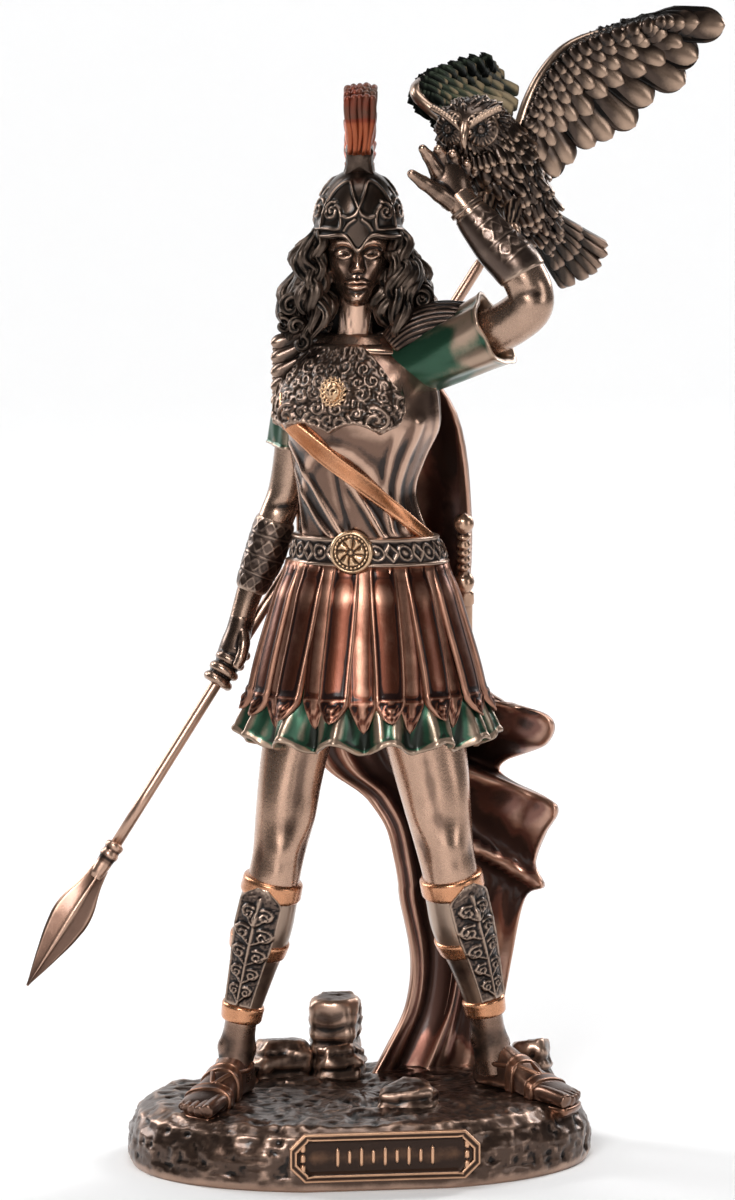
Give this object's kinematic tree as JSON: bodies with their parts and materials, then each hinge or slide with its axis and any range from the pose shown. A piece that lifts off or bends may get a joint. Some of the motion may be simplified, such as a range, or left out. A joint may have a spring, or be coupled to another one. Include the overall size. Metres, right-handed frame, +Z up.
{
  "type": "warrior goddess figurine",
  "caption": "Bronze-finished figurine of a helmeted warrior goddess with a lowered spear and an owl on her raised arm, astride on an oval rocky plinth with a blank nameplate.",
  "frame": {"origin": "middle of the plinth's flat underside", "axes": "+Z up, the figure faces -Y, her left arm and the owl's wing reach towards +X"},
  "size_m": [0.1828, 0.0876, 0.2985],
  "materials": {
    "figure": "dark antiqued bronze with rubbed copper highlights",
    "plinth": "blackened bronze rock with rubbed high points",
    "spear": "satin bronze",
    "sword": "satin bronze with polished high points",
    "owl": "antiqued bronze, greenish in the hollows",
    "nameplate": "dark field with a rubbed copper border"
  },
  "bodies": {
    "root": {"figure": "figure", "plinth": "plinth", "spear": "spear", "sword": "sword", "owl": "owl", "nameplate": "nameplate"}
  },
  "joints": []
}
